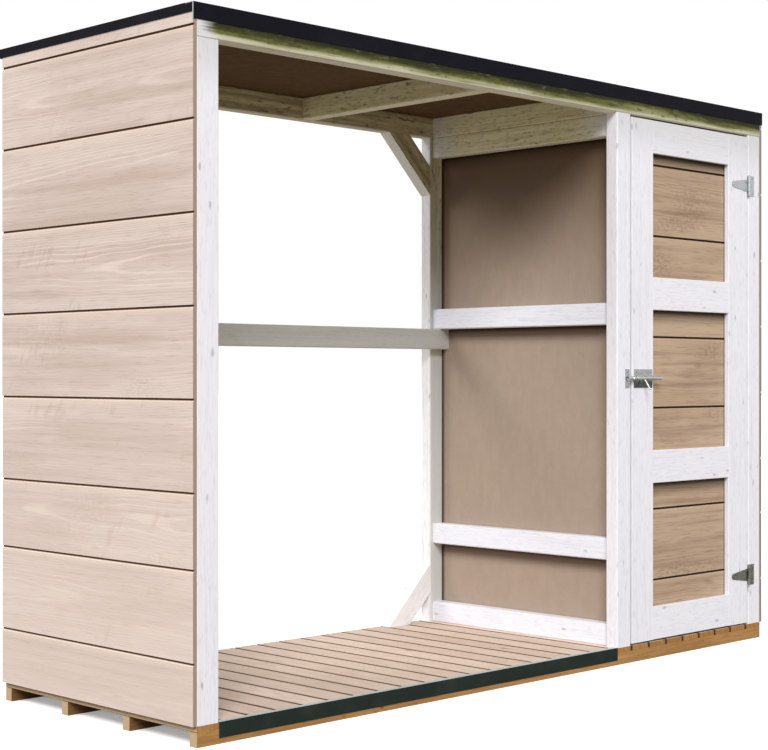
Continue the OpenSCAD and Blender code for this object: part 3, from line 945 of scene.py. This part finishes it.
def deck_material():
    """Planed boards with raw pine at their ends and sides, dirt and painted shade in the gaps, and a
    painted shadow under the wall.
    """
    material, tree, shader = start_material("deck_board")
    place = place_values(tree)
    facing = facing_values(tree)
    across = plus(tree, minus(tree, place["X"], deck_low.x), deck_gap / 2)
    number = maths(tree, "FLOOR", maths(tree, "DIVIDE", across, deck_pitch))
    within = minus(tree, across, times(tree, number, deck_pitch))
    middle = minus(tree, within, deck_pitch / 2)
    rings = place_group(
        tree, arched_rings,
        {
            "Along": place["Y"], "Across": maths(tree, "DIVIDE", middle, deck_pitch / 2),
            "Seed": number, "Arches": 6.0, "Edge lines": 4.0,
        },
    )
    figure = place_group(
        tree, wood_figure,
        {"Vector": grain_vector(tree, "y"), "Seed": number, "Knots": 0.1, "Knot scale": 1.6},
    )
    planed = coats(
        tree, blend_colour(tree, luck_of(tree, number), PLANED_LIGHT, PLANED_DEEP),
        (rings["Dark"], 0.22, PLANED_RING),
        (ramp(tree, figure["Fibre"], 0.48, 0.75), 0.5, PLANED_FIBRE),
        (figure["Knot"], 0.6, PLANED_KNOT),
    )
    sideways = looks_along(tree, facing["X"], 0.4, 0.6)
    pine = pine_colour(tree, figure, rings, sideways)
    # A painted shadow on the boards' sides just under the wall.
    under_wall = below_edges(tree, place["Z"], [wall_low], WALL_SHADOW_REACH)
    pine = tint(tree, pine, times(tree, sideways, under_wall), 0.8, PAINTED_SHADE_BROWN)
    colour = blend_colour(tree, looks_along(tree, facing["Z"], 0.3, 0.6), pine, planed)
    # Dirt and painted shade along the gaps between the boards.
    reach = maths(tree, "ABSOLUTE", middle)
    shadowed = ramp(tree, reach, board_half - GAP_REACH, board_half - GAP_EDGE)
    gap_shade_weight = ramp(tree, sideways, 0.0, 1.0, GAP_TOP_SHADE_AND_DIRT, 1.0)
    inner_side = maths(tree, "LESS_THAN", maths(tree, "ABSOLUTE", place["X"]), deck_high.x - FLAT)
    shade_and_grime = times(tree, times(tree, shadowed, gap_shade_weight), inner_side)
    colour = tint(tree, colour, shade_and_grime, 0.95, GAP_SHADE_AND_GRIME)
    relief = plus(tree, figure["Fibre"], times(tree, rings["Dark"], 0.4))
    plug(tree, shader, colour, figure["Fibre"], (0.6, 0.75), relief, 0.0005, 0.2)
    return material


dress(deck_material(), "deck")

# %% Bearer material
BEARER_SHADE = shade(74, 52, 34)
FRONT_BEARER = 0.1


def bearer_material():
    """Raw pine, pale at the sawn ends, with painted shade on the bearers behind the front one."""
    material, tree, shader = start_material("raw_pine")
    place = place_values(tree)
    facing = facing_values(tree)
    bearer_half = (bearer_high.z - bearer_low.z) / 2
    rise = minus(tree, place["Z"], bearer_low.z + bearer_half)
    rings = place_group(
        tree, arched_rings,
        {
            "Along": place["X"], "Across": maths(tree, "DIVIDE", rise, bearer_half),
            "Seed": 4.0, "Arches": 4.0, "Edge lines": 3.0,
        },
    )
    figure = place_group(
        tree, wood_figure,
        {"Vector": grain_vector(tree, "x"), "Seed": 2.0, "Knots": 0.8, "Knot scale": 4.2},
    )
    pine = pine_colour(tree, figure, rings, looks_along(tree, facing["X"], 0.4, 0.6))
    # Painted shade on the forward faces of the bearers behind the front one.
    behind = maths(tree, "GREATER_THAN", place["Y"], bearer_low.y + FRONT_BEARER)
    sheltered = times(tree, looks_low(tree, facing["Y"]), behind)
    pine = tint(tree, pine, sheltered, 0.55, BEARER_SHADE)
    plug(tree, shader, pine, figure["Fibre"], (0.55, 0.68), figure["Fibre"], 0.0006)
    return material


dress(bearer_material(), "bearers")

# %% [markdown]
# ## Roof covering, edge strips and threshold
# The black roof covering is slightly rough, the folded strips along its edges are smooth coated metal with
# a painted highlight down the front corner, and the threshold is a dark green-grey angle whose top leg is
# scuffed and painted pale as a painted sheen. The wear comes from one group of dust and fine dents that the
# hardware uses too.

# %% Fine wear group
def make_fine_wear():
    group, given, result = open_group(
        "Fine wear", {"Vector": None, "Dust scale": 6.0, "Dent scale": 400.0}, ("Dust", "Dents"),
    )
    dust_and_shade = scaled(group, given["Vector"], given["Dust scale"])
    dented = scaled(group, given["Vector"], given["Dent scale"])
    made = {"Dust": noise(group, dust_and_shade, detail=5.0, roughness=0.65), "Dents": noise(group, dented)}
    return close_group(group, result, made)


fine_wear = make_fine_wear()


def place_wear(tree, dust_scale, dent_scale):
    """Dust and dents over the whole object."""
    inputs = {"Vector": object_place(tree), "Dust scale": dust_scale, "Dent scale": dent_scale}
    return place_group(tree, fine_wear, inputs)


# %% Dark coated materials
STRIP_BLACK, STRIP_FADED = shade(24, 23, 30), shade(31, 30, 37)
CORNER_HIGHLIGHT = shade(190, 192, 196)
HIGHLIGHT_FULL, HIGHLIGHT_END = 0.0008, 0.0026


def coated_metal(name, colour, faded, top=None, corner=None):
    """Coated metal; top is the colour of a scuffed upper face with a painted sheen, corner the X of an edge
    with a painted highlight.
    """
    material, tree, shader = start_material(name)
    wear = place_wear(tree, 7.0, 420.0)
    tone = blend_colour(tree, ramp(tree, wear["Dust"], 0.42, 0.78), colour, faded)
    if top is not None:
        level = ramp(tree, facing_values(tree)["Z"], 0.5, 0.8)
        # The top face's pale coat is scuffs and a painted sheen.
        scuffs_and_sheen = times(tree, level, ramp(tree, wear["Dust"], 0.2, 0.6, 0.75, 1.0))
        tone = blend_colour(tree, scuffs_and_sheen, tone, top)
    if corner is not None:
        # A painted highlight down the front strip's outer corner.
        corner_highlight = ramp(tree, place_values(tree)["X"], corner + HIGHLIGHT_FULL, corner + HIGHLIGHT_END, 1.0, 0.0)
        corner_highlight = times(tree, corner_highlight, ramp(tree, facing_values(tree)["Z"], 0.4, 0.6, 1.0, 0.0))
        tone = tint(tree, tone, corner_highlight, 0.85, CORNER_HIGHLIGHT)
    plug(tree, shader, tone, wear["Dust"], (0.34, 0.5), wear["Dents"], 0.00008, 0.02)
    return material


def covering_material():
    """Mineral roof covering: black, dusty in patches, with pale grains."""
    material, tree, shader = start_material("roof_covering")
    wear = place_wear(tree, 2.2, 900.0)
    tone = blend_colour(tree, ramp(tree, wear["Dust"], 0.35, 0.7), shade(38, 39, 43), shade(60, 60, 62))
    tone = tint(tree, tone, ramp(tree, wear["Dents"], 0.55, 0.7), 0.35, shade(92, 92, 94))
    plug(tree, shader, tone, wear["Dents"], (0.75, 0.92), wear["Dents"], 0.0006)
    return material


strip_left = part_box("front_strip")[0].x
dress(coated_metal("edge_black_front", STRIP_BLACK, STRIP_FADED, corner=strip_left), "front_strip")
dress(coated_metal("edge_black", STRIP_BLACK, STRIP_FADED), "rear_strip", "left_strip", "right_strip")
dress(
    coated_metal("threshold_green", shade(40, 48, 44), shade(50, 58, 53), top=shade(186, 192, 192)),
    "threshold",
)
dress(covering_material(), "roof_membrane")

# %% [markdown]
# ## Zinc-plated hardware
# Hinges and bolt are zinc-plated steel: grey metal with a faint patchy spangle. Near the ground the plating
# is darker, higher up it is bright. A painted shade darkens the bolt's plate under the rod. The screws in
# the deck have the same plating, browned by the dust that lies there.

# %% Zinc material
ROD_SHADE = shade(58, 60, 58)
ROD_SHADE_FULL, ROD_SHADE_END = 0.012, 0.004
plate_low, plate_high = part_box("bolt_plate")
rod_middle = (plate_low.z + plate_high.z) / 2
forward_faces = [face for face in nodes["bolt_plate"].data.polygons if face.normal.y < -0.99]
plate_face = max(forward_faces, key=lambda face: face.area).center.y
print("bolt plate's flat face at", round(plate_face, 4), "rod at", round(rod_middle, 4))


def zinc_material(name, dull_tones, bright_tones):
    """Plated steel, darker near the ground and bright from the bolt upwards."""
    material, tree, shader = start_material(name)
    wear = place_wear(tree, 40.0, 900.0)
    spangle = node(tree, "ShaderNodeTexVoronoi", {"Vector": object_place(tree), "Scale": 150.0})
    patch = node(tree, "ShaderNodeSeparateColor", {0: spangle.outputs["Color"]}).outputs[0]
    mix = plus(tree, times(tree, patch, 0.35), times(tree, wear["Dust"], 0.65))
    bright = blend_colour(tree, mix, *bright_tones)
    dull = blend_colour(tree, mix, *dull_tones)
    spot = place_values(tree)
    colour = blend_colour(tree, ramp(tree, spot["Z"], 0.3, 0.9), dull, bright)
    # Painted shade on the bolt's plate just under the rod.
    rod_shade = ramp(tree, spot["Z"], rod_middle - ROD_SHADE_FULL, rod_middle - ROD_SHADE_END, 1.0, 0.0)
    for axis, limit in (("Z", plate_low.z), ("X", plate_low.x), ("Y", plate_face)):
        rod_shade = times(tree, rod_shade, maths(tree, "GREATER_THAN", spot[axis], limit - FLAT))
    colour = tint(tree, colour, rod_shade, 0.85, ROD_SHADE)
    plug(tree, shader, colour, mix, (0.26, 0.42), wear["Dents"], 0.00005)
    shader.inputs["Metallic"].default_value = 1.0
    return material


BRIGHT_ZINC = (shade(168, 170, 172), shade(212, 214, 216))
zinc = zinc_material("zinc_plate", (shade(126, 128, 125), shade(164, 166, 162)), BRIGHT_ZINC)
deck_zinc = zinc_material("zinc_deck", (shade(150, 128, 106), shade(178, 154, 130)), BRIGHT_ZINC)
dress(
    zinc,
    "hinge_leaf_bottom", "hinge_leaf_top", "hinge_strap_bottom", "hinge_strap_top",
    "bolt_plate", "bolt_rod", "bolt_keeper",
)

# %% [markdown]
# ## Screws
# Cross-head screws hold the hinges and the bolt, and smaller ones the deck boards. A bump could fake them,
# but a real head catches the light at its rim. Each kind is modelled once: a flat cylinder, its top drawn
# in twice to a low dome, and a cross cut out by a Boolean modifier. The copies for one body are turned a
# little differently, as a real driver leaves them, and joined into one piece.

# %% Modelling helpers
import random

import bmesh

turner = random.Random(5)


def only_select(*pieces):
    """These pieces selected and no others, the last one active."""
    bpy.ops.object.select_all(action="DESELECT")
    for piece in pieces:
        piece.select_set(True)
        bpy.context.view_layer.objects.active = piece


def select_top(piece):
    """The highest face, selected in edit mode."""
    only_select(piece)
    bpy.ops.object.mode_set(mode="EDIT")
    bpy.ops.mesh.select_mode(type="FACE")
    mesh = bmesh.from_edit_mesh(piece.data)
    highest = max(mesh.faces, key=lambda face: face.calc_center_median().z)
    for face in mesh.faces:
        face.select_set(face is highest)
    bmesh.update_edit_mesh(piece.data)


# %% Screw heads
RIM_HEIGHT = 0.5
DOME_STEPS = ((0.25, 0.35), (0.3, 0.15))
CROSS_LONG, CROSS_SHORT, CROSS_FLOOR = 1.1, 0.24, 0.75


def model_screw(name, sides, radius, height):
    """A domed head with a cross recess, standing on the floor of its own space."""
    bpy.ops.object.select_all(action="DESELECT")
    bpy.ops.mesh.primitive_cylinder_add(vertices=sides, radius=radius, depth=height * RIM_HEIGHT)
    screw = bpy.context.object
    screw.name = name
    select_top(screw)
    for inwards, upwards in DOME_STEPS:
        bpy.ops.mesh.inset(thickness=radius * inwards, depth=height * upwards)
    bpy.ops.object.mode_set(mode="OBJECT")
    bars = []
    for long_side, short_side in ((CROSS_LONG, CROSS_SHORT), (CROSS_SHORT, CROSS_LONG)):
        bpy.ops.mesh.primitive_cube_add(size=1.0, location=(0, 0, height * CROSS_FLOOR))
        bar = bpy.context.object
        bar.scale = (long_side * radius, short_side * radius, height)
        bars.append(bar)
    for bar in bars:
        cut = screw.modifiers.new("cross", "BOOLEAN")
        cut.object = bar
        cut.operation = "DIFFERENCE"
        only_select(screw)
        bpy.ops.object.modifier_apply(modifier=cut.name)
    for bar in bars:
        bpy.data.objects.remove(bar)
    print(name, len(screw.data.polygons), "faces")
    return screw


hardware_screw = model_screw("hardware_screw", 20, 0.0036, 0.0013)
deck_screw = model_screw("deck_screw", 10, 0.003, 0.0006)

# %% Screw sets
def place_screws(name, pattern, spots, turn, body, material):
    """Copies of a screw at the spots, joined into one piece that rides on a body."""
    copies = []
    for spot in spots:
        copy = pattern.copy()
        copy.data = pattern.data.copy()
        bpy.context.collection.objects.link(copy)
        twist = Matrix.Rotation(turner.uniform(0, math.pi), 4, "Z")
        copy.matrix_world = Matrix.Translation(spot) @ turn @ twist
        copies.append(copy)
    only_select(*copies)
    bpy.ops.object.join()
    piece = bpy.context.object
    piece.name = name
    bpy.ops.object.transform_apply(location=True, rotation=True, scale=True)
    bpy.ops.object.shade_smooth_by_angle(angle=math.radians(40))
    piece.data.materials.clear()
    piece.data.materials.append(material)
    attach(piece, body)
    print(name, len(copies), "screws")


# %% Hardware screws
FORWARD = Matrix.Rotation(math.radians(90), 4, "X")
HARDWARE_SHEET = 0.002
STRAP_TIP, STRAP_ROOT, STRAP_SPREAD = 0.011, 0.024, 0.0125
LEAF_SIDE, LEAF_SPREAD, LEAF_INNER = 0.010, 0.026, 0.017
PLATE_SIDE, PLATE_END = 0.009, 0.008
face_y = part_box("door_hinge_stile")[0].y - HARDWARE_SHEET
door_spots = []
post_spots = []
for level in ("bottom", "top"):
    strap_low, strap_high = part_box(f"hinge_strap_{level}")
    leaf_low, leaf_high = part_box(f"hinge_leaf_{level}")
    strap_z = (strap_low.z + strap_high.z) / 2
    leaf_z = (leaf_low.z + leaf_high.z) / 2
    door_spots += [(strap_low.x + STRAP_TIP, face_y, strap_z)]
    door_spots += [(strap_high.x - STRAP_ROOT, face_y, strap_z + side * STRAP_SPREAD) for side in (-1, 1)]
    post_spots += [(leaf_high.x - LEAF_SIDE, face_y, leaf_z + side * LEAF_SPREAD) for side in (-1, 1)]
    post_spots += [(leaf_high.x - LEAF_INNER, face_y, leaf_z)]
keeper_low, keeper_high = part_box("bolt_keeper")
for z in (plate_low.z + PLATE_END, plate_high.z - PLATE_END):
    door_spots += [(x, face_y, z) for x in (plate_low.x + PLATE_SIDE, plate_high.x - PLATE_SIDE)]
for z in (keeper_low.z + PLATE_END, keeper_high.z - PLATE_END):
    post_spots += [((keeper_low.x + keeper_high.x) / 2, face_y, z)]
place_screws("door_screws", hardware_screw, door_spots, FORWARD, "door", zinc)
place_screws("post_screws", hardware_screw, post_spots, FORWARD, "frame", zinc)

# %% [markdown]
# ## Deck screws
# Two screws hold each board on each bearer. Where a post, a wall or a rail stands on the deck there is no
# room for one, so the boxes of the other pieces say which spots stay free.

# %% Deck screws
BEARER_WIDTH = 0.028
BEARERS = 4
SCREW_SIDE = 0.024
SCREW_ROOM = 0.006
STANDS_BELOW, STANDS_ABOVE = 0.003, 0.0005
bearer_step = (bearer_high.y - bearer_low.y - BEARER_WIDTH) / (BEARERS - 1)
covers = []
for name in nodes:
    low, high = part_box(name)
    if name != "deck" and low.z < deck_high.z + STANDS_BELOW and high.z > deck_high.z + STANDS_ABOVE:
        covers.append((low, high))


def is_covered(x, y):
    """Whether something stands on the deck at this spot."""
    return any(
        low.x - SCREW_ROOM < x < high.x + SCREW_ROOM and low.y - SCREW_ROOM < y < high.y + SCREW_ROOM
        for low, high in covers
    )


deck_spots = []
for board in range(DECK_BOARDS):
    for bearer in range(BEARERS):
        y = bearer_low.y + BEARER_WIDTH / 2 + bearer * bearer_step
        for side in (-1, 1):
            x = deck_low.x + board_half + board * deck_pitch + side * SCREW_SIDE
            if not is_covered(x, y):
                deck_spots.append((x, y, deck_high.z))
place_screws("deck_screws", deck_screw, deck_spots, Matrix.Identity(4), "frame", deck_zinc)
for pattern in (hardware_screw, deck_screw):
    bpy.data.objects.remove(pattern)

# %% [markdown]
# ## Light and floor
# A white studio: a wide, even sky, one soft lamp from the front left, one from behind on the left that
# reaches into the open bay, and a pale floor. The camera sees sky and floor as plain white, and the floor
# keeps the store's soft shadow. For all other light the floor is a warm mid grey, as paving would be, so
# that the roof's underside stays dark and the hardware has something darker than the sky to mirror.

# %% Floor
FLOOR_SIZE = 120.0
FLOOR_WHITE = (0.96, 0.96, 0.96, 1.0)
FLOOR_BOUNCE = (0.33, 0.315, 0.26, 1.0)
FLOOR_NEAR, FLOOR_FAR = 2.5, 7.0
FLOOR_GLOW_NEAR = 0.3


def seen_by(tree, *kinds):
    """1 for what the camera and these kinds of ray see, 0 for all other light."""
    rays = node(tree, "ShaderNodeLightPath").outputs
    seen = rays["Is Camera Ray"]
    for kind in kinds:
        seen = maths(tree, "MAXIMUM", seen, rays[kind])
    return seen


bpy.ops.object.select_all(action="DESELECT")
bpy.ops.mesh.primitive_plane_add(size=FLOOR_SIZE, location=(0, 0, 0))
floor = bpy.context.object
floor.name = "studio_floor"
floor_material, tree, shader = start_material("studio_floor")
tree.links.new(blend_colour(tree, seen_by(tree), FLOOR_BOUNCE, FLOOR_WHITE), shader.inputs["Base Color"])
away = node(tree, "ShaderNodeVectorMath", {0: object_place(tree)}, operation="LENGTH").outputs["Value"]
glow = times(tree, ramp(tree, away, FLOOR_NEAR, FLOOR_FAR, FLOOR_GLOW_NEAR, 1.0), seen_by(tree))
tree.links.new(glow, shader.inputs["Emission Color"])
for socket, value in (("Emission Strength", 1.0), ("Roughness", 1.0), ("Specular IOR Level", 0.0)):
    shader.inputs[socket].default_value = value
floor.data.materials.append(floor_material)

# %% Sky
SKY_LEVEL = 0.6
world = bpy.data.worlds.new("studio_sky")
bpy.context.scene.world = world
world.use_nodes = True
sky_tree = world.node_tree
sky = sky_tree.nodes["Background"]
sky_seen = seen_by(sky_tree, "Is Glossy Ray", "Is Transmission Ray")
sky_tree.links.new(ramp(sky_tree, sky_seen, 0.0, 1.0, SKY_LEVEL, 1.0), sky.inputs["Strength"])
sky.inputs["Color"].default_value = (1.0, 1.0, 1.0, 1.0)

# %% Lamps
LAMP_AIM = Vector((0.0, 0.0, 0.9))


def soft_lamp(name, place, size, watts):
    """A round lamp far off, turned to the middle of the store."""
    bpy.ops.object.light_add(type="AREA", location=place)
    lamp = bpy.context.object
    lamp.name = name
    lamp.data.shape = "DISK"
    lamp.data.size = size
    lamp.data.energy = watts
    lamp.rotation_euler = (LAMP_AIM - Vector(place)).to_track_quat("-Z", "Y").to_euler()


soft_lamp("front_lamp", place=(-31.0, -33.0, 31.7), size=24.0, watts=26400.0)
soft_lamp("bay_lamp", place=(-34.6, 27.6, 31.7), size=19.0, watts=8000.0)
bpy.context.scene.view_settings.view_transform = "Standard"
print("studio ready")
